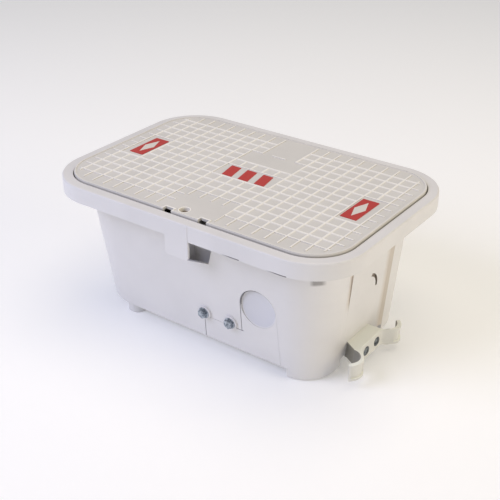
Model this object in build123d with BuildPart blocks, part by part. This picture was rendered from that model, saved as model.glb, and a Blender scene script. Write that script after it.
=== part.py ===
from build123d import *
from math import cos, radians, sin, tan
import os

os.makedirs("parts", exist_ok=True)

# Underground gas service box: a tapered moulded tub with a broad rim, a ribbed lid let into the rim,
# a quarter-turn lock, a screwed-on pipe entry plate and a double pipe bracket.
# Origin at the centre of the footprint, on the ground. +X towards the bracket, -Y towards the lock.

# Rim
length = 500.0
width = 338.0
rim_corner = 78.0
rim_height = 218.0
rim_width = 15.7
rim_thick = 4.0
rim_round = 2.5
recess_round = 0.8
skirt_drop = 24.3
skirt_thick = 3.5

# Lid recess and seat
recess_depth = 14.0
seat_thick = 4.0
recess_wall = 3.5

# Tub
overhang = 31.0
draft = 5.2
wall = 4.0
floor_thick = 4.0
foot_height = 15.0
top_corner = 67.0
plain_end_corner = 72.0
pipe_end_corner = 50.0
bottom_round = 7.0
floor_round = 5.0
column_length = 48.0
column_gap = 116.0
column_round = 9.0
stub_radius = 14.5
stub_end = 85.0
stub_side = 35.0

# Grooves of the pipe end, each easing in from the front and ending in a crisp step, and arc slot
groove_edge = 57.0
groove_width = 28.0
groove_clear = 0.05
near_groove_depth = 3.0
near_groove_fade = 0.02
far_groove_depth = 4.5
far_groove_fade = 0.0
slot_y = -8.0
slot_z = 106.0
slot_radius = 26.5
slot_width = 5.0
slot_depth = 3.0
slot_start = -5.0
slot_sweep = 80.0

# Lock opening in the front wall and the tongue that hangs before it
vent_left = -16.0
vent_right = 38.0
vent_right_low = 31.5
vent_drop_left = 62.5
vent_drop_right = 54.0
vent_drop_shoulder = 32.0
tongue_left = -14.0
tongue_right = 25.7
tongue_drop = 53.0
tongue_round = 5.0
seat_cut_right = 24.0
pocket_wall = 3.0
pocket_depth = 33.5
pocket_drop = 82.0
skirt_line_depth = 0.7

# Pipe entry plate in the front wall
entry_left = 15.0
entry_step = 81.0
entry_right = 146.0
entry_step_z = 54.0
entry_centre_x = 111.0
entry_centre_z = 100.0
entry_arch = 30.0
entry_gap = 0.45
entry_shift = 0.15
knockout_floor = 3.5
knockout_least = 0.4
entry_reach = 22.0
entry_screw_x = (17.0, 63.0)
entry_screw_z = 60.5
screw_radius = 3.0
hole_clearance = 0.3
hex_across = 13.0
hex_height = 5.5
washer_radius = 11.0
washer_thick = 3.0
nut_height = 5.0
screw_end = 3.0

# Lid
lid_gap = 1.6
lid_rise = 2.6
lid_plate = 3.0
lid_rim = 3.5
seat_gap = 0.3
edge_bead_width = 3.0
edge_bead_height = 0.8
edge_round = 0.6
stiffener = 3.0
stiffener_depth = 8.0
stiffener_pitch_x = 110.0
stiffener_pitch_y = 90.0
stiffeners_x = 3
stiffeners_y = 2

# Tread ribs on the lid
tread_columns = 22
tread_rows = 13
tread_end = 22.7
tread_side = 31.7
tread_width = 2.0
tread_height = 1.0
tread_margin = 9.0
plaque_bay_columns = 2
plaque_bay_rows = 4
mark_bay_columns = 5
mark_bay_rows = 2
rear_bay_columns = 3
rear_bay_row = 4
rear_head_row = 2
rear_dash = 24.0
front_bay_left = -34.0
front_bay_right = 50.0
front_bay_depth = 53.7

# Marking plaques
plaque_shift = 3.5
plaque_length = 25.0
plaque_width = 62.5
plaque_thick = 0.9

# Lifting notches in the front edge of the lid
notch_x = (-23.0, 37.0)
notch_width = 14.0
notch_depth = 7.0
notch_bead = 2.0

# Rear tongues that hook the lid under the rim
hook_x = 120.0
hook_width = 30.0
hook_thick = 4.0
hook_reach = 6.5
hook_clearance = 2.0
hook_swing = 10.0

# Lock
lock_x = -4.0
lock_inset = 14.2
lock_running = 0.05
barrel_radius = 7.5
ferrule_wall = 1.6
ferrule_clearance = 0.1
boss_wall = 3.0
barrel_sink = 6.0
socket_across = 7.0
socket_depth = 6.0
cam_reach = 23.0
cam_width = 12.0
cam_thick = 4.0
cam_drop = 1.0
ring_thick = 1.5
ring_width = 2.2
ring_gap = 0.3
lock_nut_across = 11.0

# Pipe bracket on the end wall
bracket_y = -17.0
bracket_top = 40.0
bracket_height = 26.0
bracket_depth = 23.0
bracket_half = 29.0
bracket_flat = 23.0
cradle_radius = 17.0
near_cradle_offset = 57.0
far_cradle_offset = 46.0
cradle_centre = 18.0
arm_thick = 6.5
arm_sweep = 55.0
panel_depth = 1.2
panel_margin = 3.5
panel_start = -17.0
panel_end = 12.0
bracket_screw_spacing = 29.0
bracket_screw_z = 28.0
bracket_screw_radius = 2.5
bracket_head_radius = 6.8
bracket_head_height = 3.0
cross_slot = 1.2
cross_depth = 1.5
bracket_nut_across = 8.0
bracket_nut_height = 4.0

# Levels and outlines that follow from the sizes above
seat_top = rim_height - recess_depth
seat_under = seat_top - seat_thick
recess_length = length - 2 * rim_width
recess_width = width - 2 * rim_width
recess_corner = rim_corner - rim_width
tub_length = length - 2 * overhang
tub_width = width - 2 * overhang
stub_x = tub_length / 2 - stub_end
stub_y = tub_width / 2 - stub_side
entry_lip = tub_width / 2 - entry_reach
pocket_back = tub_width / 2 - pocket_depth
pocket_floor = seat_under - pocket_drop
tongue_bottom = rim_height - tongue_drop
slope = tan(radians(draft))
floor_top = foot_height + floor_thick
lid_length = recess_length - 2 * lid_gap
lid_width = recess_width - 2 * lid_gap
lid_corner = recess_corner - lid_gap
lock_y = lock_inset - lid_width / 2
front_bay_end = front_bay_depth - lid_width / 2
lid_face = rim_height + lid_rise
lid_under = lid_face - lid_plate
lid_bottom = seat_top + seat_gap
tread_pitch_x = (lid_length - 2 * tread_end) / (tread_columns - 1)
tread_pitch_y = (lid_width - 2 * tread_side) / (tread_rows - 1)
plaque_bay_x = tread_pitch_x * (tread_columns - 1 - plaque_bay_columns) / 2
mark_bay_length = mark_bay_columns * tread_pitch_x
rear_bay_start = rear_bay_row * tread_pitch_y
rear_head_start = rear_head_row * tread_pitch_y


def half_length(z):
    """Half the tub's outer length at height z."""
    return tub_length / 2 - (seat_under - z) * slope


def half_width(z):
    """Half the tub's outer width at height z."""
    return tub_width / 2 - (seat_under - z) * slope


def tub_section(z, inset):
    """Outline of the tub at height z, drawn in by inset."""
    fall = (seat_under - z) / seat_under
    with BuildSketch(Plane.XY.offset(z)) as section:
        Rectangle(2 * (half_length(z) - inset), 2 * (half_width(z) - inset))
        ends = section.vertices().group_by(Axis.X)
        fillet(ends[0], top_corner + (plain_end_corner - top_corner) * fall - inset)
        ends = section.vertices().filter_by(lambda v: v.X > half_length(z) - inset - 1)
        fillet(ends, top_corner + (pipe_end_corner - top_corner) * fall - inset)
    return section.sketch


def front_plane(x, z):
    """Plane on the outer face of the front wall, facing out."""
    normal = (0, -cos(radians(draft)), -sin(radians(draft)))
    return Plane((x, -half_width(z), z), x_dir=(1, 0, 0), z_dir=normal)


def end_plane(y, z):
    """Plane on the outer face of the pipe end wall, facing out."""
    normal = (cos(radians(draft)), 0, -sin(radians(draft)))
    return Plane((half_length(z), y, z), x_dir=(0, 1, 0), z_dir=normal)


def rim_ring(z, height, outer_inset, inner_inset):
    """Ring between two outlines drawn in from the rim's outer edge."""
    with BuildSketch(Plane.XY.offset(z)) as ring:
        RectangleRounded(length - 2 * outer_inset, width - 2 * outer_inset, rim_corner - outer_inset)
        RectangleRounded(length - 2 * inner_inset, width - 2 * inner_inset, rim_corner - inner_inset,
                         mode=Mode.SUBTRACT)
    extrude(ring.sketch, amount=height)


def on_rim_edge(edge, inset):
    """True for an edge on the rim's outline drawn in by inset."""
    spot = edge @ 0.5
    corner = rim_corner - inset
    out_x = abs(spot.X) - (length / 2 - rim_corner)
    out_y = abs(spot.Y) - (width / 2 - rim_corner)
    if out_x > 0 and out_y > 0:
        return abs((out_x**2 + out_y**2) ** 0.5 - corner) < rim_thick / 10
    return abs(max(out_x, out_y) - corner) < rim_thick / 10


def foot_plan(inset, mode):
    """Plan of the two corner columns and the two round stubs that the tub stands on."""
    column_x = half_length(foot_height) - column_length + inset + length / 2
    column_y = column_gap / 2 + inset + length / 2
    with Locations((column_x, column_y), (column_x, -column_y)):
        RectangleRounded(length, length, column_round, mode=mode)
    with Locations((-stub_x, -stub_y), (-stub_x, stub_y)):
        Circle(stub_radius - inset, mode=mode)


def groove_plane(y, fade):
    """Plane across a groove of the pipe end at its step, its own Y pointing out of the wall."""
    return Plane((tub_length / 2, y, seat_under), x_dir=(0, 1, 0), z_dir=(fade - slope, 0, -1))


grooves = ((-groove_edge, near_groove_depth, near_groove_fade),
           (groove_edge, far_groove_depth, far_groove_fade))

# The knock-out's floor stands upright behind the sloping front wall, shallowest at its lower edge
entry_floor_y = -half_width(entry_centre_z - entry_arch) + knockout_least

# Room inside the tub, with the corner columns and stubs hollowed from above
with BuildPart() as cavity:
    loft([tub_section(rim_height, wall), tub_section(0, wall)], ruled=True)
    with BuildSketch():
        Rectangle(length, width)
        foot_plan(wall, Mode.SUBTRACT)
    extrude(amount=floor_top, mode=Mode.SUBTRACT)
    with BuildSketch():
        Rectangle(length, width)
    extrude(amount=floor_thick, mode=Mode.SUBTRACT)
    for y, depth, fade in grooves:
        with BuildSketch(groove_plane(y, fade)):
            with Locations(((wall - groove_width) / 2, overhang / 2 - depth - wall)):
                Rectangle(groove_width + wall, overhang)
        extrude(amount=rim_height, mode=Mode.SUBTRACT)

# Feet: the pipe end's corners run down to the ground as columns, the other end has round stubs
with BuildPart() as feet:
    loft([tub_section(seat_under, 0), tub_section(0, 0)], ruled=True)
    fillet(feet.edges().group_by(Axis.Z)[0], bottom_round)
    with BuildSketch():
        foot_plan(0, Mode.ADD)
    extrude(amount=foot_height + 2 * floor_round, mode=Mode.INTERSECT)

# Outer form of the tub with its feet
with BuildPart() as outer_form:
    loft([tub_section(seat_under, 0), tub_section(foot_height, 0)], ruled=True)
    fillet(outer_form.edges().group_by(Axis.Z)[0], floor_round)
    add(feet.part)
    for y, depth, fade in grooves:
        sweep_radius = (groove_width**2 + depth**2) / (2 * depth)
        middle_drop = sweep_radius - (sweep_radius**2 - groove_width**2 / 4) ** 0.5
        with BuildSketch(groove_plane(y, fade)):
            with BuildLine():
                Polyline((0, groove_clear - depth), (0, overhang), (-groove_width, overhang),
                         (-groove_width, groove_clear))
                ThreePointArc((-groove_width, groove_clear),
                              (-groove_width / 2, groove_clear - middle_drop), (0, groove_clear - depth))
            make_face()
        extrude(amount=rim_height, mode=Mode.SUBTRACT)


def entry_outline(inset, shift):
    """Outline of the pipe entry plate on the front wall, drawn in by inset and moved right by shift."""
    arch = entry_arch - inset
    left = entry_left + inset + shift
    step = entry_step + inset + shift
    right = entry_right - inset + shift
    centre = entry_centre_x + shift
    step_z = entry_step_z - inset
    with BuildSketch(Plane.XZ.offset(entry_lip + inset)) as outline:
        with BuildLine():
            Polyline((right, 0), (left, 0), (left, step_z), (step, step_z), (step, entry_centre_z))
            ThreePointArc((step, entry_centre_z), (centre, entry_centre_z + arch),
                          (2 * centre - step, entry_centre_z))
            Line((2 * centre - step, entry_centre_z), (right, 0))
        make_face()
    return outline.sketch


def pocket_outline(back, grow):
    """Outline of the lock's pocket on an upright plane, let out by grow."""
    with BuildSketch(Plane.XZ.offset(back)) as outline:
        with Locations(((vent_left + vent_right) / 2, (pocket_floor + seat_top) / 2)):
            Rectangle(vent_right - vent_left + 2 * grow, seat_top - pocket_floor + 2 * grow)
    return outline.sketch


# Pocket that closes the lock opening off from the room inside
with BuildPart() as pocket:
    extrude(pocket_outline(pocket_back - pocket_wall, pocket_wall), amount=2 * overhang)
    extrude(pocket_outline(pocket_back, 0), amount=2 * overhang, mode=Mode.SUBTRACT)
    add(outer_form.part, mode=Mode.INTERSECT)

# Tub: tapered box, rim with a turned-down skirt, lid recess and seat, all one moulding
with BuildPart() as tub:
    add(outer_form.part)
    rim_ring(rim_height - rim_thick, rim_thick, 0, rim_width)
    rim_ring(rim_height - skirt_drop, skirt_drop - rim_thick, 0, skirt_thick)
    rim_ring(seat_under, recess_depth + seat_thick - rim_thick, rim_width - recess_wall, rim_width)
    with BuildSketch(Plane.XY.offset(seat_under)):
        RectangleRounded(recess_length, recess_width, recess_corner)
    extrude(amount=seat_thick)
    rim_edges = tub.edges().group_by(Axis.Z)[-1]
    fillet(rim_edges.filter_by(lambda e: on_rim_edge(e, 0)), rim_round)
    fillet(tub.edges().filter_by(lambda e: e.center().Z > rim_height - recess_round / 10
                                 and on_rim_edge(e, rim_width)), recess_round)
    # Tongue that hangs from the front skirt
    with BuildSketch(Plane.XZ.offset(width / 2 - skirt_thick)) as tongue:
        with Locations(((tongue_left + tongue_right) / 2, (tongue_bottom + rim_height - skirt_drop) / 2)):
            Rectangle(tongue_right - tongue_left, rim_height - skirt_drop - tongue_bottom)
        fillet(tongue.vertices().group_by(Axis.Y)[0], tongue_round)
    extrude(amount=skirt_thick)
    with BuildSketch(Plane((tongue_right, -width / 2, rim_height - skirt_drop))):
        RegularPolygon(skirt_line_depth, 4)
    extrude(amount=skirt_drop, mode=Mode.SUBTRACT)
    add(cavity.part, mode=Mode.SUBTRACT)
    # Opening below the lock, through the front wall into its pocket, and the cut in the seat above
    add(pocket.part)
    with BuildSketch(Plane.XZ.offset(entry_lip)):
        with BuildLine():
            Polyline((vent_left, seat_under), (vent_left, seat_under - vent_drop_left),
                     (vent_right_low, seat_under - vent_drop_right),
                     (vent_right, seat_under - vent_drop_shoulder), (vent_right, seat_under), close=True)
        make_face()
        with Locations(((vent_left + seat_cut_right) / 2, seat_under + seat_thick / 2)):
            Rectangle(seat_cut_right - vent_left, seat_thick)
    extrude(amount=recess_width / 2 - entry_lip, mode=Mode.SUBTRACT)
    # Opening for the pipe entry plate
    extrude(entry_outline(0, 0), amount=overhang, mode=Mode.SUBTRACT)
    for x in entry_screw_x:
        with Locations(front_plane(x, entry_screw_z)):
            Hole(screw_radius + hole_clearance, depth=2 * wall)
    # Arc slot of the pipe end
    with BuildSketch(end_plane(slot_y, slot_z)):
        with BuildLine():
            outer_arc = CenterArc((0, 0), slot_radius, slot_start, slot_sweep)
            inner_arc = CenterArc((0, 0), slot_radius - slot_width, slot_start, slot_sweep)
            Line(outer_arc @ 0, inner_arc @ 0)
            Line(outer_arc @ 1, inner_arc @ 1)
        make_face()
    extrude(amount=-slot_depth, mode=Mode.SUBTRACT)
    for y in (-bracket_screw_spacing / 2, bracket_screw_spacing / 2):
        with Locations(end_plane(bracket_y + y, bracket_screw_z)):
            Hole(bracket_screw_radius + hole_clearance, depth=2 * wall)
    # Slots for the hooks of the lid
    for x in (-hook_x, hook_x):
        with Locations((x, recess_width / 2 + recess_wall - hook_swing / 2,
                        lid_bottom + hook_thick / 2)):
            Box(hook_width + 2 * hook_clearance, hook_swing, hook_thick + 2 * hook_clearance,
                mode=Mode.SUBTRACT)
tub.part.label = "tub"
export_step(tub.part, "parts/tub.step")

# Pipe entry plate: fills its opening flush with the wall and carries a round knock-out
with BuildPart() as entry_plate:
    add(outer_form.part)
    add(cavity.part, mode=Mode.SUBTRACT)
    extrude(entry_outline(entry_gap, entry_shift), amount=overhang, mode=Mode.INTERSECT)
    knockout_plane = Plane.XZ.offset(-entry_floor_y)
    with BuildSketch(knockout_plane):
        with Locations((entry_centre_x + entry_shift, entry_centre_z)):
            Circle(entry_arch - entry_gap)
    extrude(amount=-knockout_floor)
    with BuildSketch(knockout_plane):
        with Locations((entry_centre_x + entry_shift, entry_centre_z)):
            Circle(entry_arch - 2 * entry_gap)
    extrude(amount=overhang / 2, mode=Mode.SUBTRACT)
entry_plate.part.label = "entry_plate"
export_step(entry_plate.part, "parts/entry_plate.step")

# Fixings of the entry plate: clamping washers, hex screws and nuts
with BuildPart() as entry_washers:
    for x in entry_screw_x:
        with BuildSketch(front_plane(x, entry_screw_z)):
            Circle(washer_radius)
            Circle(screw_radius + hole_clearance, mode=Mode.SUBTRACT)
        extrude(amount=washer_thick)
entry_washers.part.label = "entry_washers"
export_step(entry_washers.part, "parts/entry_washers.step")

with BuildPart() as entry_screws:
    for x in entry_screw_x:
        seat = front_plane(x, entry_screw_z)
        with BuildSketch(seat.offset(washer_thick)):
            RegularPolygon(hex_across / 2, 6, major_radius=False)
        extrude(amount=hex_height)
        with BuildSketch(seat.offset(washer_thick)):
            Circle(screw_radius)
        extrude(amount=-washer_thick - wall - nut_height - screw_end)
entry_screws.part.label = "entry_screws"
export_step(entry_screws.part, "parts/entry_screws.step")

with BuildPart() as entry_nuts:
    for x in entry_screw_x:
        with BuildSketch(front_plane(x, entry_screw_z).offset(-wall)):
            RegularPolygon(hex_across / 2, 6, major_radius=False)
            Circle(screw_radius, mode=Mode.SUBTRACT)
        extrude(amount=-nut_height)
entry_nuts.part.label = "entry_nuts"
export_step(entry_nuts.part, "parts/entry_nuts.step")

# Lid: ribbed plate with a rim that stands on the seat, stiffened below, hooked at the rear
with BuildPart() as lid:
    with BuildSketch(Plane.XY.offset(lid_bottom)):
        RectangleRounded(lid_length, lid_width, lid_corner)
    extrude(amount=lid_face - lid_bottom)
    fillet(lid.edges().group_by(Axis.Z)[-1], edge_round)
    with BuildSketch(Plane.XY.offset(lid_bottom)):
        RectangleRounded(lid_length - 2 * lid_rim, lid_width - 2 * lid_rim, lid_corner - lid_rim)
    extrude(amount=lid_under - lid_bottom, mode=Mode.SUBTRACT)
    # Stiffening ribs below the plate
    with BuildSketch(Plane.XY.offset(lid_under)):
        with GridLocations(stiffener_pitch_x, 0, stiffeners_x, 1):
            Rectangle(stiffener, lid_width - lid_rim)
        with GridLocations(0, stiffener_pitch_y, 1, stiffeners_y):
            Rectangle(lid_length - lid_rim, stiffener)
        with Locations((lock_x, lock_y)):
            Circle(barrel_radius + ferrule_wall + boss_wall)
    extrude(amount=-stiffener_depth)
    # Bead round the edge, then the tread ribs with their bays
    with BuildSketch(Plane.XY.offset(lid_face)):
        RectangleRounded(lid_length - 2 * edge_round, lid_width - 2 * edge_round, lid_corner - edge_round)
        RectangleRounded(lid_length - 2 * edge_bead_width, lid_width - 2 * edge_bead_width,
                         lid_corner - edge_bead_width, mode=Mode.SUBTRACT)
        for x in notch_x:
            with Locations((x, (notch_depth + notch_bead - lid_width) / 2 + edge_round)):
                Rectangle(notch_width + 2 * notch_bead, notch_depth + notch_bead)
    extrude(amount=edge_bead_height)
    with BuildSketch(Plane.XY.offset(lid_face)):
        with GridLocations(tread_pitch_x, 0, tread_columns, 1):
            Rectangle(tread_width, lid_width)
        with GridLocations(0, tread_pitch_y, 1, tread_rows):
            Rectangle(lid_length, tread_width)
        with Locations((-plaque_bay_x, 0), (plaque_bay_x, 0)):
            Rectangle(plaque_bay_columns * tread_pitch_x - tread_width,
                      plaque_bay_rows * tread_pitch_y - tread_width, mode=Mode.SUBTRACT)
        Rectangle(mark_bay_length - tread_width, mark_bay_rows * tread_pitch_y - tread_width,
                  mode=Mode.SUBTRACT)
        with Locations((0, (rear_head_start + rear_bay_start) / 2)):
            Rectangle(mark_bay_length - tread_width, rear_bay_start - rear_head_start - tread_width,
                      mode=Mode.SUBTRACT)
        with Locations((0, (rear_bay_start + lid_width / 2) / 2)):
            Rectangle(rear_bay_columns * tread_pitch_x - tread_width,
                      lid_width / 2 - rear_bay_start + tread_width, mode=Mode.SUBTRACT)
        with Locations(((front_bay_left + front_bay_right) / 2, (front_bay_end - lid_width / 2) / 2)):
            Rectangle(front_bay_right - front_bay_left, lid_width / 2 + front_bay_end, mode=Mode.SUBTRACT)
        with Locations((0, rear_bay_start)):
            Rectangle(rear_dash, tread_width)
        RectangleRounded(lid_length - 2 * tread_margin, lid_width - 2 * tread_margin,
                         lid_corner - tread_margin, mode=Mode.INTERSECT)
    extrude(amount=tread_height)
    # Lifting notches and the hole of the lock
    for x in notch_x:
        with Locations((x, (notch_depth - lid_width) / 2, (lid_bottom + lid_face) / 2 + edge_bead_height)):
            Box(notch_width, notch_depth, lid_face - lid_bottom + 2 * edge_bead_height, mode=Mode.SUBTRACT)
    with Locations((lock_x, lock_y, lid_face)):
        Hole(barrel_radius + ferrule_wall + ferrule_clearance, depth=lid_face - lid_bottom)
    # Hooks at the rear
    for x in (-hook_x, hook_x):
        with Locations((x, (lid_width / 2 + recess_width / 2 + hook_reach) / 2 - lid_rim / 2,
                        lid_bottom + hook_thick / 2)):
            Box(hook_width, recess_width / 2 + hook_reach - lid_width / 2 + lid_rim, hook_thick)
lid.part.label = "lid"
export_step(lid.part, "parts/lid.step")

# Marking plaques set in the two end bays of the lid
for name, side in (("plaque_left", -1), ("plaque_right", 1)):
    with BuildPart() as plaque:
        with BuildSketch(Plane.XY.offset(lid_face)):
            with Locations((side * (plaque_bay_x - plaque_shift), 0)):
                RectangleRounded(plaque_length, plaque_width, plaque_thick)
        extrude(amount=plaque_thick)
    plaque.part.label = name
    export_step(plaque.part, "parts/" + name + ".step")

# Lock: ferrule in the lid, barrel, cam, retaining ring and nut
lock_axis = Plane((lock_x, lock_y, 0))
cam_top = seat_under - cam_drop
boss_bottom = lid_under - stiffener_depth

with BuildPart() as lock_ferrule:
    with BuildSketch(lock_axis.offset(boss_bottom)):
        Circle(barrel_radius + ferrule_wall)
        Circle(barrel_radius + lock_running, mode=Mode.SUBTRACT)
    extrude(amount=lid_face - boss_bottom)
    chamfer(lock_ferrule.edges().group_by(Axis.Z)[-1], ferrule_wall / 4)
lock_ferrule.part.label = "lock_ferrule"
export_step(lock_ferrule.part, "parts/lock_ferrule.step")

with BuildPart() as lock_barrel:
    with BuildSketch(lock_axis.offset(cam_top)):
        Circle(barrel_radius)
    extrude(amount=lid_face - barrel_sink - cam_top)
    with BuildSketch(lock_axis.offset(lid_face - barrel_sink)):
        Rectangle(socket_across, socket_across)
    extrude(amount=-socket_depth, mode=Mode.SUBTRACT)
    with BuildSketch(lock_axis.offset(cam_top)):
        Circle(screw_radius)
    extrude(amount=-cam_thick - nut_height)
lock_barrel.part.label = "lock_barrel"
export_step(lock_barrel.part, "parts/lock_barrel.step")

with BuildPart() as lock_ring:
    with BuildSketch(lock_axis.offset(boss_bottom - ring_gap - ring_thick)):
        Circle(barrel_radius + ring_width)
        Circle(barrel_radius, mode=Mode.SUBTRACT)
    extrude(amount=ring_thick)
lock_ring.part.label = "lock_ring"
export_step(lock_ring.part, "parts/lock_ring.step")

with BuildPart() as lock_cam:
    with BuildSketch(lock_axis.offset(cam_top - cam_thick)):
        with Locations((cam_reach / 2 - cam_width / 4, 0)):
            SlotOverall(cam_reach + cam_width / 2, cam_width)
        Circle(screw_radius, mode=Mode.SUBTRACT)
    extrude(amount=cam_thick)
lock_cam.part.label = "lock_cam"
export_step(lock_cam.part, "parts/lock_cam.step")

with BuildPart() as lock_nut:
    with BuildSketch(lock_axis.offset(cam_top - cam_thick - nut_height)):
        RegularPolygon(lock_nut_across / 2, 6, major_radius=False)
        Circle(screw_radius, mode=Mode.SUBTRACT)
    extrude(amount=nut_height)
lock_nut.part.label = "lock_nut"
export_step(lock_nut.part, "parts/lock_nut.step")


def arc_point(radius, degrees, side, offset):
    """Point on a circle about one cradle of the pipe bracket."""
    return (cradle_centre + radius * cos(radians(degrees)), side * (offset + radius * sin(radians(degrees))))


def bracket_plan(z, back):
    """Plan of the pipe bracket at height z, moved back towards the wall."""
    arm_outer = cradle_radius + arm_thick
    with BuildSketch(Plane((half_length(bracket_top) - back, bracket_y, z))) as plan:
        for side, offset in ((-1, near_cradle_offset), (1, far_cradle_offset)):
            inner_tip = arc_point(cradle_radius, arm_sweep, side, offset)
            outer_tip = arc_point(arm_outer, arm_sweep, side, offset)
            outer_third = arc_point(arm_outer, arm_sweep / 3, side, offset)
            with BuildLine():
                Polyline((bracket_depth, 0), (-wall, 0), (-wall, side * bracket_half),
                         (0, side * bracket_half), (cradle_centre, side * (offset - cradle_radius)))
                ThreePointArc((cradle_centre, side * (offset - cradle_radius)),
                              (cradle_centre + cradle_radius, side * offset), inner_tip)
                Line(inner_tip, outer_tip)
                ThreePointArc(outer_tip, outer_third, (cradle_centre + arm_outer, side * offset))
                Spline((cradle_centre + arm_outer, side * offset), (bracket_depth, side * bracket_flat),
                       tangents=[(0, -side), (0, -side)])
                Line((bracket_depth, side * bracket_flat), (bracket_depth, 0))
            make_face()
    return plan.sketch


# Shallow panels in the outer faces of the bracket's arms
with BuildPart() as arm_panels:
    panel_bottom = bracket_top - bracket_height + panel_margin
    panel_height = bracket_height - 2 * panel_margin
    extrude(bracket_plan(panel_bottom, 0), amount=panel_height)
    extrude(bracket_plan(panel_bottom, panel_depth), amount=panel_height, mode=Mode.SUBTRACT)
    with BuildSketch(Plane((half_length(bracket_top), bracket_y, panel_bottom))):
        for side, offset in ((-1, near_cradle_offset), (1, far_cradle_offset)):
            with Locations((overhang, side * (offset + (panel_end + panel_start) / 2))):
                Rectangle(2 * overhang, panel_end - panel_start)
    extrude(amount=panel_height, mode=Mode.INTERSECT)

# Pipe bracket: one moulding with a cradle each side of its block, held by two screws
with BuildPart() as pipe_bracket:
    extrude(bracket_plan(bracket_top - bracket_height, 0), amount=bracket_height)
    add(arm_panels.part, mode=Mode.SUBTRACT)
    add(outer_form.part, mode=Mode.SUBTRACT)
    for y in (-bracket_screw_spacing / 2, bracket_screw_spacing / 2):
        head_seat = end_plane(bracket_y + y, bracket_screw_z).offset(bracket_depth)
        with BuildSketch(head_seat):
            Circle(bracket_head_radius + hole_clearance)
        extrude(amount=bracket_depth, mode=Mode.SUBTRACT)
        with BuildSketch(head_seat):
            Circle(bracket_screw_radius + hole_clearance)
        extrude(amount=-2 * bracket_depth, mode=Mode.SUBTRACT)
pipe_bracket.part.label = "pipe_bracket"
export_step(pipe_bracket.part, "parts/pipe_bracket.step")

# Fixings of the bracket: two cross-head screws with nuts inside the tub
with BuildPart() as bracket_screws:
    for y in (-bracket_screw_spacing / 2, bracket_screw_spacing / 2):
        head_seat = end_plane(bracket_y + y, bracket_screw_z).offset(bracket_depth)
        with BuildSketch(head_seat):
            Circle(bracket_head_radius)
        extrude(amount=bracket_head_height)
        with BuildSketch(head_seat.offset(bracket_head_height)):
            Rectangle(cross_slot, bracket_head_radius)
            Rectangle(bracket_head_radius, cross_slot)
        extrude(amount=-cross_depth, mode=Mode.SUBTRACT)
        with BuildSketch(head_seat):
            Circle(bracket_screw_radius)
        extrude(amount=-bracket_depth - wall - bracket_nut_height - screw_end)
bracket_screws.part.label = "bracket_screws"
export_step(bracket_screws.part, "parts/bracket_screws.step")

with BuildPart() as bracket_nuts:
    for y in (-bracket_screw_spacing / 2, bracket_screw_spacing / 2):
        with BuildSketch(end_plane(bracket_y + y, bracket_screw_z).offset(-wall)):
            RegularPolygon(bracket_nut_across / 2, 6, major_radius=False)
            Circle(bracket_screw_radius, mode=Mode.SUBTRACT)
        extrude(amount=-bracket_nut_height)
bracket_nuts.part.label = "bracket_nuts"
export_step(bracket_nuts.part, "parts/bracket_nuts.step")
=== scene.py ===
import math

import bmesh
import bpy
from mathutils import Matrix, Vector


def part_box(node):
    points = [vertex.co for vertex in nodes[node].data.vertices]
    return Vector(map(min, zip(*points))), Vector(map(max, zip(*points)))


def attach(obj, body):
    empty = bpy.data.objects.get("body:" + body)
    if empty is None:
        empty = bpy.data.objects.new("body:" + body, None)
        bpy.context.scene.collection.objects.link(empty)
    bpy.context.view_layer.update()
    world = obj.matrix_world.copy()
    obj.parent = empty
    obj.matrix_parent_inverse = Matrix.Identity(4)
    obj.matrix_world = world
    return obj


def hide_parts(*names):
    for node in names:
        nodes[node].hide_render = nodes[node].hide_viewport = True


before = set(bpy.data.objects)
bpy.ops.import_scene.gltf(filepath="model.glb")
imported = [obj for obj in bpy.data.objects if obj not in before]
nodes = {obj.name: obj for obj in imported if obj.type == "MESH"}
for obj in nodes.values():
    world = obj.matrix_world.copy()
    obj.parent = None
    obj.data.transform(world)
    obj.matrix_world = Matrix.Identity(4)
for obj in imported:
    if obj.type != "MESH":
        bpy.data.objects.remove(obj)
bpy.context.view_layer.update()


def paint(red, green, blue):
    """Linear colour for a shader, from the 0 to 255 values of a colour card."""
    parts = [value / 255 for value in (red, green, blue)]
    return [v / 12.92 if v <= 0.04045 else ((v + 0.055) / 1.055) ** 2.4 for v in parts] + [1.0]


def add_node(tree, kind, sockets=None, **properties):
    """Adds one shader node. Each socket that is named takes a value or a link from another node's output."""
    node = tree.nodes.new("ShaderNode" + kind)
    for name, value in properties.items():
        setattr(node, name, value)
    for name, value in (sockets or {}).items():
        if isinstance(value, bpy.types.NodeSocket):
            tree.links.new(value, node.inputs[name])
        else:
            node.inputs[name].default_value = value
    return node


def ramp(tree, source, stops):
    """Adds a colour ramp over a value, with its two stops as (position, colour)."""
    node = add_node(tree, "ValToRGB", {"Fac": source})
    for element, (position, colour) in zip(node.color_ramp.elements, stops):
        element.position = position
        element.color = colour
    return node.outputs["Color"]


def new_material(name):
    """Starts a material, with its node tree and the place on its piece."""
    material = bpy.data.materials.new(name)
    material.use_nodes = True
    tree = material.node_tree
    tree.nodes.clear()
    return material, tree, add_node(tree, "TexCoord").outputs["Object"]


def give_surface(tree, sockets):
    """Ends a material in its surface shader."""
    shader = add_node(tree, "BsdfPrincipled", sockets)
    add_node(tree, "OutputMaterial", {"Surface": shader.outputs["BSDF"]})


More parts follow.
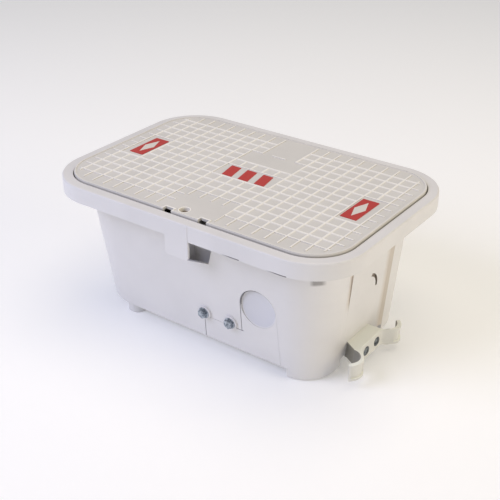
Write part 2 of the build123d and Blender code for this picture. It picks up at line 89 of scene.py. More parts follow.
def moulded_plastic(name, pale, dull, roughness, grain):
    """Moulded plastic: a flow shade between two colours, scuffs in the gloss and a grain, sized in metres."""
    material, tree, place = new_material(name)
    flow = add_node(tree, "TexNoise", {"Vector": place, "Scale": 9.0, "Detail": 4.0, "Roughness": 0.55,
                                       "Distortion": 0.6}).outputs["Fac"]
    skin = add_node(tree, "TexNoise", {"Vector": place, "Scale": 1 / grain, "Detail": 2.0,
                                       "Roughness": 0.6}).outputs["Fac"]
    scuff = add_node(tree, "TexNoise", {"Vector": place, "Scale": 70.0, "Detail": 6.0, "Roughness": 0.7,
                                        "Distortion": 1.2}).outputs["Fac"]
    gloss = add_node(tree, "MapRange", {"Value": scuff, "From Min": 0.35, "From Max": 0.75,
                                        "To Min": roughness - 0.06, "To Max": roughness + 0.12})
    waves = add_node(tree, "Bump", {"Height": flow, "Strength": 0.12, "Distance": 0.0006})
    pores = add_node(tree, "Bump", {"Height": skin, "Normal": waves.outputs["Normal"], "Strength": 0.22,
                                    "Distance": grain / 8})
    give_surface(tree, {"Base Color": ramp(tree, flow, [(0.3, dull), (0.7, pale)]), "IOR": 1.49,
                        "Roughness": gloss.outputs["Result"], "Normal": pores.outputs["Normal"]})
    return material


def finish_node(name, material):
    """Gives a CAD node its finish."""
    nodes[name].data.materials.clear()
    nodes[name].data.materials.append(material)


def shader_of(material):
    """The surface shader of a material."""
    return next(n for n in material.node_tree.nodes if n.type == "BSDF_PRINCIPLED")


def object_place(material):
    """A material's place on its piece, whole and as X, Y and Z."""
    tree = material.node_tree
    place = next(n for n in tree.nodes if n.type == "TEX_COORD").outputs["Object"]
    parts = add_node(tree, "SeparateXYZ", {"Vector": place}).outputs
    return place, parts["X"], parts["Y"], parts["Z"]


def from_axis(tree, place, across, centre):
    """Distance of a place from an axis through a centre, measured in the plane across the axis."""
    flat = add_node(tree, "VectorMath", {0: place, 1: across}, operation="MULTIPLY").outputs["Vector"]
    return add_node(tree, "VectorMath", {0: flat, 1: centre}, operation="DISTANCE").outputs["Value"]


def all_of(tree, shares):
    """Product of several shares."""
    total = shares[0]
    for share in shares[1:]:
        total = add_node(tree, "Math", {0: total, 1: share}, operation="MULTIPLY").outputs["Value"]
    return total


def band(tree, value, low, high, fade, high_fade=None):
    """Share of 1 between two limits of a value, fading past them, at the upper one by high_fade if given."""
    past_high = high + (fade if high_fade is None else high_fade)
    rising = add_node(tree, "MapRange", {"Value": value, "From Min": low - fade, "From Max": low})
    falling = add_node(tree, "MapRange", {"Value": value, "From Min": past_high, "From Max": high})
    return all_of(tree, [rising.outputs["Result"], falling.outputs["Result"]])


def mix_over(material, colour, shares):
    """Lays one colour over a material's own, by the product of shares from 0 to 1."""
    tree = material.node_tree
    base = shader_of(material).inputs["Base Color"]
    mixed = add_node(tree, "MixRGB", {"Fac": all_of(tree, shares), "Color1": base.links[0].from_socket,
                                      "Color2": colour})
    tree.links.new(mixed.outputs["Color"], base)


housing_look = {"pale": paint(227, 225, 224), "dull": paint(220, 218, 217),
                "roughness": 0.42, "grain": 0.0011}
housing_grey = moulded_plastic("housing_grey", **housing_look)
wall_draft = math.radians(5.2)
wall_slope = math.tan(wall_draft)
wall_level = 0.200
end_wall_x = 0.219
sharp_fade = 0.0002
tub_tree = housing_grey.node_tree
tub_place, tub_x, tub_y, tub_z = object_place(housing_grey)
wall_lean = add_node(tub_tree, "Math", {0: tub_z, 1: -wall_slope, 2: wall_level * wall_slope - end_wall_x},
                     operation="MULTIPLY_ADD").outputs["Value"]
out_of_wall = add_node(tub_tree, "Math", {0: tub_x, 1: wall_lean}, operation="ADD").outputs["Value"]

# Painted shade: the arc slot of the end wall's knock-out is darkened, standing in for the shade inside the
# slot.
slot_centre = (0.0, -0.008, 0.106)
slot_radii = (0.0212, 0.0268)
slot_floor = (-0.0034, -0.0006)
slot_fade = 0.0003
slot_shade = paint(140, 130, 118)
from_slot = from_axis(tub_tree, tub_place, (0.0, 1.0, 1.0), slot_centre)
mix_over(housing_grey, slot_shade, [band(tub_tree, from_slot, *slot_radii, slot_fade),
                                   band(tub_tree, out_of_wall, *slot_floor, sharp_fade)])

# Painted shade: the near and far grooves of the pipe end are darkened, standing in for the shade in them.
groove_shade = paint(207, 198, 188)
wall_skin = (-0.0050, 0.0010)
near_shade_y = (-0.0590, -0.0569)
near_shade_z = (0.112, 0.200)
near_fade_y = 0.0090
near_fade_z = 0.0150
far_shade_y = (0.0500, 0.0574)
far_fade_y = 0.0160
on_end_wall = band(tub_tree, out_of_wall, *wall_skin, sharp_fade)
across_near = band(tub_tree, tub_y, *near_shade_y, near_fade_y, sharp_fade)
down_near = band(tub_tree, tub_z, *near_shade_z, near_fade_z)
across_far = band(tub_tree, tub_y, *far_shade_y, far_fade_y, sharp_fade)
mix_over(housing_grey, groove_shade, [on_end_wall, across_near, down_near])
mix_over(housing_grey, groove_shade, [on_end_wall, across_far])

# Painted shadow: two thin dark lines along the skirt's lower edge on the front stand in for the shadow under
# the skirt.
skirt_shadow = paint(104, 101, 106)
skirt_front_y = (-0.1695, -0.1640)
skirt_edge_z = (0.1880, 0.1948)
skirt_edge_fade = 0.0004
shadowed_x = ((0.0950, 0.1095), (0.1660, 0.1815))
shadow_start_fade = 0.0150
shadow_end_fade = 0.0010
for shadow_left, shadow_right in shadowed_x:
    mix_over(housing_grey, skirt_shadow,
             [band(tub_tree, tub_x, shadow_left, shadow_right, shadow_start_fade, shadow_end_fade),
              band(tub_tree, tub_y, *skirt_front_y, sharp_fade),
              band(tub_tree, tub_z, *skirt_edge_z, skirt_edge_fade)])

# Painted shadow: a dark patch below the skirt at the near corner stands in for the shade under its overhang.
corner_shadow = paint(162, 159, 157)
corner_x = (0.1925, 0.2000)
corner_y = (-0.1300, -0.1050)
corner_z = (0.1634, 0.1937)
corner_fades = (0.0045, 0.0010, 0.0030)
mix_over(housing_grey, corner_shadow, [band(tub_tree, tub_x, *corner_x, corner_fades[0]),
                                     band(tub_tree, tub_y, *corner_y, corner_fades[1]),
                                     band(tub_tree, tub_z, *corner_z, corner_fades[2])])
finish_node("tub", housing_grey)

# Eased grooves and pocket roof: parts of the tub's own moulding, in the same plastic.
# The strips ease the grooves of the pipe end into the wall. The roof closes the lock's pocket below the lid,
# short of the lock.
near_groove = (-0.0705, -0.0569)
near_foot = 0.045
near_run_out = (0.098, 0.132)
near_hide = 0.0004
near_depth = 0.0017
near_back = 0.0030
near_steps = (14, 16)
far_groove = (0.0305, 0.0574)
far_levels = (0.0135, 0.1995)
far_step = 0.0572
far_bottom = 0.052
far_depth = 0.0025
far_back = 0.0065
far_steps = (12, 2)
groove_cover = 0.00005
strip_crease = math.radians(40)


def mesh_object(name, mesh):
    """Makes an object of a finished mesh, with its faces turned outwards."""
    bmesh.ops.recalc_face_normals(mesh, faces=mesh.faces)
    data = bpy.data.meshes.new(name)
    mesh.to_mesh(data)
    mesh.free()
    piece = bpy.data.objects.new(name, data)
    bpy.context.scene.collection.objects.link(piece)
    return piece


def end_wall_at(z):
    """Where the drafted end wall stands at a height."""
    return end_wall_x - (wall_level - z) * wall_slope


def wall_strip(name, across, levels, depth_at, back):
    """A strip set into the end wall: its face lies depth_at(y, z) below the wall, its back is in the wall."""
    mesh = bmesh.new()
    face = [[mesh.verts.new((end_wall_at(z) - depth_at(y, z), y, z)) for y in across] for z in levels]
    rear = [[mesh.verts.new((end_wall_at(z) - back, y, z)) for y in across] for z in levels]
    last_row = len(levels) - 1
    last_column = len(across) - 1
    for rows in (face, rear):
        for i in range(last_row):
            for j in range(last_column):
                mesh.faces.new((rows[i][j], rows[i][j + 1], rows[i + 1][j + 1], rows[i + 1][j]))
    for i in range(last_row):
        for j in (0, last_column):
            mesh.faces.new((face[i][j], face[i + 1][j], rear[i + 1][j], rear[i][j]))
    for j in range(last_column):
        for i in (0, last_row):
            mesh.faces.new((face[i][j], face[i][j + 1], rear[i][j + 1], rear[i][j]))
    strip = mesh_object(name, mesh)
    strip.data.polygons.foreach_set("use_smooth", [True] * len(strip.data.polygons))
    strip.data.set_sharp_from_angle(angle=strip_crease)
    return strip


def near_depth_at(y, z):
    """Depth of the near groove's eased end, which runs out about half way down."""
    from_step = (near_groove[1] - y) / (near_groove[1] - near_groove[0])
    run_out = min(max((z - near_run_out[0]) / (near_run_out[1] - near_run_out[0]), 0.0), 1.0)
    return groove_cover + near_hide * from_step + near_depth * run_out


def far_depth_at(y, z):
    """Depth of the far groove, which eases in and rises again on a slant."""
    if y > far_bottom:
        return groove_cover + far_depth * max(far_step - y, 0.0) / (far_step - far_bottom)
    share = (y - far_groove[0]) / (far_bottom - far_groove[0])
    return groove_cover + far_depth * share * share


def spaced(start, end, count):
    """Evenly spaced values from start to end."""
    return [start + (end - start) * i / count for i in range(count + 1)]


def prism(outline, low, high):
    """Mesh of an upright prism between two heights, over an outline of (x, y) points."""
    mesh = bmesh.new()
    face = mesh.faces.new([mesh.verts.new((x, y, low)) for x, y in outline])
    grown = bmesh.ops.extrude_face_region(mesh, geom=[face])["geom"]
    lifted = [v for v in grown if isinstance(v, bmesh.types.BMVert)]
    bmesh.ops.translate(mesh, verts=lifted, vec=(0, 0, high - low))
    return mesh


near_ease = wall_strip("near_groove_ease", spaced(*near_groove, near_steps[0]),
                       spaced(near_foot, near_run_out[1], near_steps[1]), near_depth_at, near_back)
far_across = spaced(far_groove[0], far_bottom, far_steps[0]) + [far_step, far_groove[1]]
far_ease = wall_strip("far_groove_ease", far_across, spaced(*far_levels, far_steps[1]),
                      far_depth_at, far_back)
roof_x = (-0.0165, 0.0390)
roof_y = (-0.1275, -0.1035)
roof_ear_x = 0.0245
roof_ear_y = -0.1345
roof_levels = (0.1970, 0.1999)
roof_outline = [(roof_x[0], roof_y[1]), (roof_x[1], roof_y[1]), (roof_x[1], roof_ear_y),
                (roof_ear_x, roof_ear_y), (roof_ear_x, roof_y[0]), (roof_x[0], roof_y[0])]
pocket_roof = mesh_object("pocket_roof", prism(roof_outline, *roof_levels))
for piece in (near_ease, far_ease, pocket_roof):
    piece.data.materials.append(housing_grey)
    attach(piece, "box")

# Pipe entry plate: a separate moulding of the same plastic that fills the opening in the front wall.
# Two screws clamp it there. Its thin round knock-out is a little dished, glossier and a shade cooler than
# the wall. Painted shade darkens its joint along the plate's left and upper edges.
entry_grey = moulded_plastic("entry_grey", **housing_look)
knockout_centre = (0.11115, 0.0, 0.100)
knockout_radius = 0.029
knockout_flat = 0.9
knockout_cool = paint(213, 213, 218)
knockout_gloss = 0.24
knockout_dish = 0.004
entry_tree = entry_grey.node_tree
entry_shader = shader_of(entry_grey)
entry_place, entry_x, _, entry_z = object_place(entry_grey)
from_centre = from_axis(entry_tree, entry_place, (1.0, 0.0, 1.0), knockout_centre)
knockout_share = add_node(entry_tree, "MapRange", {"Value": from_centre, "From Min": knockout_radius,
                                                   "From Max": knockout_flat * knockout_radius})
on_knockout = knockout_share.outputs["Result"]
mix_over(entry_grey, knockout_cool, [on_knockout])
wall_gloss = entry_shader.inputs["Roughness"].links[0].from_socket
entry_gloss = add_node(entry_tree, "Mix", {"Factor": on_knockout, "A": wall_gloss, "B": knockout_gloss})
entry_tree.links.new(entry_gloss.outputs["Result"], entry_shader.inputs["Roughness"])
dish_share = add_node(entry_tree, "MapRange", {"Value": from_centre, "From Max": knockout_radius})
dish_depth = add_node(entry_tree, "Math", {0: dish_share.outputs["Result"], 1: 2.0}, operation="POWER")
wall_grain = entry_shader.inputs["Normal"].links[0].from_socket
dish = add_node(entry_tree, "Bump", {"Height": dish_depth.outputs["Value"], "Normal": wall_grain,
                                     "Strength": 1.0, "Distance": knockout_dish})
entry_tree.links.new(dish.outputs["Normal"], entry_shader.inputs["Normal"])

# Painted shade: the plate's joint is darkened on its left and upper edges only, where shade falls.
joint_shade = paint(112, 110, 114)
joint_width = 0.0004
joint_end_fade = 0.0005
arch_joint = (0.02955 - joint_width, 0.0310)
arch_x = (0.070, 0.108)
arch_z = (0.1005, 0.140)
arch_fade = 0.0120
upper_joint = (0.0800, 0.0816 + joint_width)
upper_z = (0.0535, 0.0995)
lower_joint = (0.0140, 0.0156 + joint_width)
lower_z = (0.0, 0.0540)
shelf_joint = (0.05355 - joint_width, 0.0545)
shelf_x = (0.0690, 0.0820)
shelf_fade = 0.0040
for shares in (
    [band(entry_tree, from_centre, *arch_joint, sharp_fade),
     band(entry_tree, entry_z, *arch_z, joint_end_fade),
     band(entry_tree, entry_x, *arch_x, arch_fade)],
    [band(entry_tree, entry_x, *upper_joint, sharp_fade),
     band(entry_tree, entry_z, *upper_z, joint_end_fade)],
    [band(entry_tree, entry_x, *lower_joint, sharp_fade),
     band(entry_tree, entry_z, *lower_z, joint_end_fade)],
    [band(entry_tree, entry_z, *shelf_joint, sharp_fade),
     band(entry_tree, entry_x, *shelf_x, shelf_fade)],
):
    mix_over(entry_grey, joint_shade, shares)
finish_node("entry_plate", entry_grey)

# Clamping washers: plain moulded discs of off-white plastic.
# They lie on the wall and the entry plate, under the heads of the entry screws.
washer_white = moulded_plastic("washer_white", paint(230, 228, 228), paint(222, 220, 220),
                               roughness=0.45, grain=0.0008)
finish_node("entry_washers", washer_white)

# Entry screws: zinc-plated steel hex screws with a flange, a chamfered head and a rolled thread.
# Two stand in a row on the washers, square to the sloping wall, with nuts inside the tub.
hex_across = 0.013
hex_height = 0.0055
hex_chamfer = 0.0009
flange_radius = 0.0086
flange_height = 0.0014
flange_brim = 0.6 * flange_height
shank_radius = 0.003
shank_length = 0.015
thread_pitch = 0.001
thread_depth = 0.00025
hex_screw_sides = 32
front_wall = 0.138
washer_height = 0.003
entry_screw_x = 0.017
entry_screw_z = 0.0605
entry_screw_step = Vector((0.046, 0, 0))
entry_screw_turn = Vector((math.pi / 2 + wall_draft, 0, 0))
entry_screw_count = 2
zinc_bright = paint(190, 198, 206)
zinc_stained = paint(96, 104, 114)


def zinc_steel(name, bright, dark, roughness):
    """Zinc-plated steel: a bluish bright plating with cloudy dark stains and fine drawing marks."""
    material, tree, place = new_material(name)
    cloud = add_node(tree, "TexNoise", {"Vector": place, "Scale": 260.0, "Detail": 5.0,
                                        "Roughness": 0.65}).outputs["Fac"]
    marks = add_node(tree, "TexNoise", {"Vector": place, "Scale": 1900.0, "Detail": 2.0}).outputs["Fac"]
    gloss = add_node(tree, "MapRange", {"Value": cloud, "To Min": roughness - 0.08,
                                        "To Max": roughness + 0.16})
    relief = add_node(tree, "Bump", {"Height": marks, "Strength": 0.25, "Distance": 0.00008})
    give_surface(tree, {"Base Color": ramp(tree, cloud, [(0.35, dark), (0.62, bright)]), "Metallic": 1.0,
                        "Roughness": gloss.outputs["Result"], "Normal": relief.outputs["Normal"]})
    return material


def turned(mesh, profile, segments):
    """Adds a solid of revolution about Z to a mesh, from (radius, height) points between two on the axis."""
    rings = []
    for radius, height in profile:
        if radius == 0:
            rings.append([mesh.verts.new((0, 0, height))])
        else:
            angles = [2 * math.pi * i / segments for i in range(segments)]
            rings.append([mesh.verts.new((radius * math.cos(angle), radius * math.sin(angle), height))
                          for angle in angles])
    for low, high in zip(rings, rings[1:]):
        for i in range(segments):
            j = (i + 1) % segments
            corners = [low[i % len(low)], low[j % len(low)], high[j % len(high)], high[i % len(high)]]
            mesh.faces.new(list(dict.fromkeys(corners)))


def threaded_shank(start, length, radius):
    """Profile of a shank from its head down to its tip, with the crests and roots of a rolled thread."""
    points = [(radius, start)]
    height = start - thread_pitch
    while height > start - length + 2 * thread_pitch:
        points += [(radius, height), (radius - thread_depth, height - thread_pitch / 2)]
        height -= thread_pitch
    return points + [(radius - 3 * thread_depth, start - length), (0, start - length)]


def made_plain(piece, modifier):
    """Turns what a modifier makes of a piece into the piece's own plain mesh."""
    piece.update_tag()
    view = bpy.context.evaluated_depsgraph_get()
    piece.data = bpy.data.meshes.new_from_object(piece.evaluated_get(view))
    piece.modifiers.remove(modifier)


def copies_tree(name, kinds):
    """Starts a Geometry Nodes tree that copies a shape on points. Gives its inputs and its copying node."""
    tree = bpy.data.node_groups.new(name, "GeometryNodeTree")
    for key, kind in {**kinds, "Shape": "NodeSocketObject", "Finish": "NodeSocketMaterial"}.items():
        tree.interface.new_socket(key, in_out="INPUT", socket_type=kind)
    tree.interface.new_socket("Geometry", in_out="OUTPUT", socket_type="NodeSocketGeometry")
    given = tree.nodes.new("NodeGroupInput").outputs
    shape = tree.nodes.new("GeometryNodeObjectInfo")
    copies = tree.nodes.new("GeometryNodeInstanceOnPoints")
    real = tree.nodes.new("GeometryNodeRealizeInstances")
    coat = tree.nodes.new("GeometryNodeSetMaterial")
    result = tree.nodes.new("NodeGroupOutput")
    for source, target in (
        (given["Shape"], shape.inputs["Object"]),
        (shape.outputs["Geometry"], copies.inputs["Instance"]),
        (copies.outputs["Instances"], real.inputs["Geometry"]),
        (real.outputs["Geometry"], coat.inputs["Geometry"]),
        (given["Finish"], coat.inputs["Material"]),
        (coat.outputs["Geometry"], result.inputs["Geometry"]),
    ):
        tree.links.new(source, target)
    return tree, given, copies


def copied(name, data, tree, values):
    """Runs a tree of copies on a mesh, with its inputs' values, and returns one plain mesh object."""
    piece = bpy.data.objects.new(name, data)
    bpy.context.scene.collection.objects.link(piece)
    modifier = piece.modifiers.new("copies", "NODES")
    modifier.node_group = tree
    for socket in tree.interface.items_tree:
        if socket.name in values:
            modifier[socket.identifier] = values[socket.name]
    made_plain(piece, modifier)
    bpy.data.objects.remove(values["Shape"])
    return piece


def screw_row(name, template, start, step, count, turn, finish):
    """Sets turned copies of a screw in a row."""
    kinds = {"Count": "NodeSocketInt", "Start": "NodeSocketVector", "Step": "NodeSocketVector",
             "Turn": "NodeSocketVector"}
    tree, given, copies = copies_tree(name + "_row", kinds)
    line = tree.nodes.new("GeometryNodeMeshLine")
    turning = tree.nodes.new("FunctionNodeEulerToRotation")
    for source, target in (
        (given["Count"], line.inputs["Count"]),
        (given["Start"], line.inputs["Start Location"]),
        (given["Step"], line.inputs["Offset"]),
        (given["Turn"], turning.inputs["Euler"]),
        (line.outputs["Mesh"], copies.inputs["Points"]),
        (turning.outputs["Rotation"], copies.inputs["Rotation"]),
    ):
        tree.links.new(source, target)
    values = {"Shape": template, "Count": count, "Start": start, "Step": step, "Turn": turn, "Finish": finish}
    return copied(name, bpy.data.meshes.new(name), tree, values)


zinc_plate = zinc_steel("zinc_plate", zinc_bright, zinc_stained, roughness=0.30)
screw_mesh = bmesh.new()
flange_profile = [(0, flange_height), (hex_across / 2, flange_height), (flange_radius, flange_brim),
                  (flange_radius, 0)]
turned(screw_mesh, flange_profile + threaded_shank(0, shank_length, shank_radius), hex_screw_sides)
hex_corner = hex_across / math.sqrt(3)
hex_head = bmesh.ops.create_cone(screw_mesh, cap_ends=True, segments=6, radius1=hex_corner,
                                 radius2=hex_corner, depth=hex_height - flange_height / 2)["verts"]
bmesh.ops.translate(screw_mesh, verts=hex_head, vec=(0, 0, (hex_height + flange_height / 2) / 2))
top_edges = {edge for corner in hex_head for edge in corner.link_edges
             if min(v.co.z for v in edge.verts) > hex_height / 2}
bmesh.ops.bevel(screw_mesh, geom=list(top_edges), offset=hex_chamfer, segments=2, affect="EDGES", profile=0.6)
hex_screw = mesh_object("hex_screw", screw_mesh)
wall_out = Vector((0, -math.cos(wall_draft), -math.sin(wall_draft)))
front_wall_y = (wall_level - entry_screw_z) * wall_slope - front_wall
entry_seat = Vector((entry_screw_x, front_wall_y, entry_screw_z)) + washer_height * wall_out
entry_screws = screw_row("entry_hex_screws", hex_screw, entry_seat, entry_screw_step, entry_screw_count,
                         entry_screw_turn, zinc_plate)
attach(entry_screws, "box")
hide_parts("entry_screws")
finish_node("entry_nuts", zinc_plate)

# Pipe bracket: one moulding in grey-green plastic, with soft edges, a cradle at each side and sunk panels in
# its arms. It is screwed through its block to the foot of the end wall.
# Painted light pales its up-facing faces, and painted shade darkens its cradles and the side of its block.
bracket_base = Vector((0.20444, -0.017, 0.014))
bracket_height = 0.026
block_back = 0.003
block_depth = 0.023
block_half = 0.029
block_flat = 0.023
cradle_centre = 0.018
cradle_radius = 0.017
cradle_offsets = {-1: 0.057, 1: 0.046}
cradle_steps = 14
arm_radius = 0.0235
arm_sweep = math.radians(55)
arm_edge = 0.0010
arm_steps = 16
panel_frame = 0.0038
panel_lip = 0.0007
panel_depth = 0.0024
panel_slope = math.radians(1.8)
panel_ends = {-1: 0.2, 1: 0.27}
tip_frame = math.radians(8)
tip_steps = 7
bracket_grey = moulded_plastic("bracket_grey", paint(221, 220, 214), paint(212, 211, 205),
                               roughness=0.40, grain=0.0009)
# Painted light: faces that look up are paler, as where the light falls on them.
top_light_pale = paint(243, 244, 234)
top_light_rise = (0.2, 0.9)
# Painted shade: the cradles and the near side face of the block are darker, as in shade.
bracket_shade_dark = paint(150, 148, 141)
shade_reach = (0.0003, 0.0009)
side_facing_x = (-1.1, 0.2)
side_facing_y = (-1.1, -0.6)
side_facing_fade = 0.1
block_side_y = (-0.062, -0.0455)
block_side_fade = 0.0005
bracket_tree = bracket_grey.node_tree
bracket_place, _, bracket_y, _ = object_place(bracket_grey)
bracket_normal = add_node(bracket_tree, "NewGeometry").outputs["Normal"]
facing = add_node(bracket_tree, "SeparateXYZ", {"Vector": bracket_normal}).outputs
top_light_share = add_node(bracket_tree, "MapRange", {"Value": facing["Z"], "From Min": top_light_rise[0],
                                                 "From Max": top_light_rise[1]})
mix_over(bracket_grey, top_light_pale, [top_light_share.outputs["Result"]])
for side, offset in cradle_offsets.items():
    cradle_axis = (bracket_base.x + cradle_centre, bracket_base.y + side * offset, 0.0)
    to_axis = from_axis(bracket_tree, bracket_place, (1.0, 1.0, 0.0), cradle_axis)
    shade_share = add_node(bracket_tree, "MapRange", {"Value": to_axis,
                                                    "From Min": cradle_radius + shade_reach[1],
                                                    "From Max": cradle_radius + shade_reach[0]})
    mix_over(bracket_grey, bracket_shade_dark, [shade_share.outputs["Result"]])
mix_over(bracket_grey, bracket_shade_dark, [band(bracket_tree, facing["Y"], *side_facing_y, side_facing_fade),
                                     band(bracket_tree, facing["X"], *side_facing_x, side_facing_fade),
                                     band(bracket_tree, bracket_y, *block_side_y, block_side_fade)])


def arm_outline(side):
    """Plan of one half of the bracket, round its cradle and back along its arm, as points with their sink."""
    offset = cradle_offsets[side]
    centre = Vector((cradle_centre, side * offset, 0))
    inner = [Vector((-block_back, side * block_half, 0)), Vector((0, side * block_half, 0))]
    for angle in spaced(-math.pi / 2, arm_sweep, cradle_steps):
        inner.append(centre + cradle_radius * Vector((math.cos(angle), side * math.sin(angle), 0)))
    panel_turns = spaced(tip_frame + 2 * panel_slope, arm_sweep, tip_steps)
    outer = []
    for turn in [0, tip_frame, tip_frame + panel_slope] + panel_turns:
        angle = arm_sweep - turn
        outward = Vector((math.cos(angle), side * math.sin(angle), 0))
        outer.append((centre + arm_radius * outward, -outward * (panel_depth if turn > tip_frame else 0)))
    arm_front = cradle_centre + arm_radius
    for share in spaced(0, 1, arm_steps)[1:]:
        ease = share * share * (3 - 2 * share)
        spot = Vector((arm_front + (block_depth - arm_front) * ease,
                       side * (offset + (block_flat - offset) * share), 0))
        outer.append((spot, Vector((-panel_depth if share < panel_ends[side] else 0, 0, 0))))
    return [(spot, Vector()) for spot in inner] + outer


bracket_plan = arm_outline(-1) + arm_outline(1)[::-1]
bracket_mesh = bmesh.new()
bracket_rings = []
panel_top = bracket_height - panel_frame
for level, sunk in ((0, 0), (panel_frame, 0), (panel_frame + panel_lip, 1), (panel_top - panel_lip, 1),
                    (panel_top, 0), (bracket_height, 0)):
    lift = Vector((0, 0, level))
    bracket_rings.append([bracket_mesh.verts.new(bracket_base + spot + sunk * sink + lift)
                          for spot, sink in bracket_plan])
for low, high in zip(bracket_rings, bracket_rings[1:]):
    for i in range(len(bracket_plan)):
        j = (i + 1) % len(bracket_plan)
        bracket_mesh.faces.new((low[i], low[j], high[j], high[i]))
bracket_mesh.faces.new(bracket_rings[0])
bracket_mesh.faces.new(bracket_rings[-1])
bmesh.ops.recalc_face_normals(bracket_mesh, faces=bracket_mesh.faces)
level_face = 0.99
upright_face = 0.1
brims = [edge for edge in bracket_mesh.edges if max(abs(f.normal.z) for f in edge.link_faces) > level_face
         and min(abs(f.normal.z) for f in edge.link_faces) < upright_face]
bmesh.ops.bevel(bracket_mesh, geom=brims, offset=arm_edge, segments=3, affect="EDGES", profile=0.5)
soft_bracket = mesh_object("soft_bracket", bracket_mesh)
soft_bracket.data.materials.append(bracket_grey)
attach(soft_bracket, "box")
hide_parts("pipe_bracket")

# Bracket screws: dark zinc-plated steel screws with a domed head and a pressed cross recess.
# They sit on the front of the block, square to the end wall, with nuts inside the tub.
dome_profile = [(0.0, 0.00295), (0.0029, 0.00285), (0.0050, 0.00255), (0.0064, 0.0020), (0.0072, 0.0014),
                (0.0076, 0.0007), (0.0076, 0.0)]
dome_height = dome_profile[0][1]
domed_screw_sides = 40
cross_half = 0.0036
cross_arm = 0.00065
cross_depth = 0.0016
bracket_shank_radius = 0.0024
bracket_shank_length = 0.034
bracket_seat_out = 0.023
bracket_screw_y = -0.0315
bracket_screw_z = 0.028
bracket_screw_step = Vector((0, 0.029, 0))
bracket_screw_turn = Vector((0, math.pi / 2 + wall_draft, 0))
bracket_screw_count = 2
dark_zinc = zinc_steel("dark_zinc", paint(128, 134, 138), paint(62, 67, 72), roughness=0.34)
dome_mesh = bmesh.new()
bracket_shank = threaded_shank(0, bracket_shank_length, bracket_shank_radius)
turned(dome_mesh, dome_profile + bracket_shank, domed_screw_sides)
domed_screw = mesh_object("domed_screw", dome_mesh)
cross_outline = []
cross_quarter = [(cross_half, -cross_arm), (cross_half, cross_arm), (cross_arm, cross_arm)]
for _ in range(4):
    cross_outline += cross_quarter
    cross_quarter = [(-y, x) for x, y in cross_quarter]
cross_mesh = prism(cross_outline, dome_height - cross_depth, dome_height + cross_depth)
cross_punch = mesh_object("cross_punch", cross_mesh)
punching = domed_screw.modifiers.new("cross", "BOOLEAN")
punching.object = cross_punch
punching.operation = "DIFFERENCE"
punching.solver = "EXACT"
made_plain(domed_screw, punching)
bpy.data.objects.remove(cross_punch)
end_out = Vector((math.cos(wall_draft), 0, -math.sin(wall_draft)))
bracket_wall = Vector((end_wall_at(bracket_screw_z), bracket_screw_y, bracket_screw_z))
bracket_seat = bracket_wall + bracket_seat_out * end_out
bracket_screws = screw_row("bracket_domed_screws", domed_screw, bracket_seat, bracket_screw_step,
                           bracket_screw_count, bracket_screw_turn, dark_zinc)
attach(bracket_screws, "box")
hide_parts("bracket_screws")
finish_node("bracket_nuts", dark_zinc)

# Lid: one moulding in a greyer plastic than the tub, let into the rim and hooked under it at the back.
# The ribs, the edge bead and the bays are in the moulding. The tops of the ribs, the bead and the rims of the
# notches are painted pale, for wear and painted highlight, and painted shade darkens the gap round the edge.
lid_grey = moulded_plastic("lid_grey", paint(218, 215, 210), paint(211, 208, 203),
                           roughness=0.50, grain=0.0010)
lid_face = 0.2206
lid_straight = (0.1616, 0.0810, 0.0)
lid_corner = 0.0707
tread_height = 0.001
tread_top = lid_face + 0.75 * tread_height
tread_fade = 0.4 * tread_height
bead_inside = lid_corner - 0.0034
bead_pale_share = 0.30
notch_spots = ((-0.0325, -0.0135), (0.0275, 0.0465))
notch_reach = -0.1415
wear_and_highlight_pale = paint(243, 240, 234)
gap_shade_levels = (0.2150, 0.2186)
lid_mask_fade = 0.0005
gap_shade_grey = paint(194, 190, 184)
no_limit = 1.0
lid_tree = lid_grey.node_tree
lid_place, lid_x, lid_y, lid_z = object_place(lid_grey)
past_straight = lid_place
for operation, other in (("ABSOLUTE", (0.0, 0.0, 0.0)), ("SUBTRACT", lid_straight),
                         ("MULTIPLY", (1.0, 1.0, 0.0)), ("MAXIMUM", (0.0, 0.0, 0.0))):
    step = add_node(lid_tree, "VectorMath", {0: past_straight, 1: other}, operation=operation)
    past_straight = step.outputs["Vector"]
from_corner = add_node(lid_tree, "VectorMath", {0: past_straight}, operation="LENGTH").outputs["Value"]
on_top = band(lid_tree, lid_z, tread_top, no_limit, tread_fade)
off_bead = add_node(lid_tree, "MapRange", {"Value": from_corner, "From Min": bead_inside,
                                           "From Max": bead_inside - lid_mask_fade, "To Min": bead_pale_share})
# Wear and painted highlight: the tops of the ribs and, in part, the edge bead are paler.
mix_over(lid_grey, wear_and_highlight_pale, [on_top, off_bead.outputs["Result"]])
# Wear and painted highlight: the lid's top round the two notches is paler.
for notch_x in notch_spots:
    mix_over(lid_grey, wear_and_highlight_pale, [on_top, band(lid_tree, lid_x, *notch_x, lid_mask_fade),
                                   band(lid_tree, lid_y, -no_limit, notch_reach, lid_mask_fade)])
# Painted shade: the lid's edge below the rim's level is darker, standing in for the shade in the gap.
mix_over(lid_grey, gap_shade_grey, [band(lid_tree, from_corner, lid_corner - lid_mask_fade, no_limit, lid_mask_fade),
                               band(lid_tree, lid_z, *gap_shade_levels, lid_mask_fade)])
finish_node("lid", lid_grey)

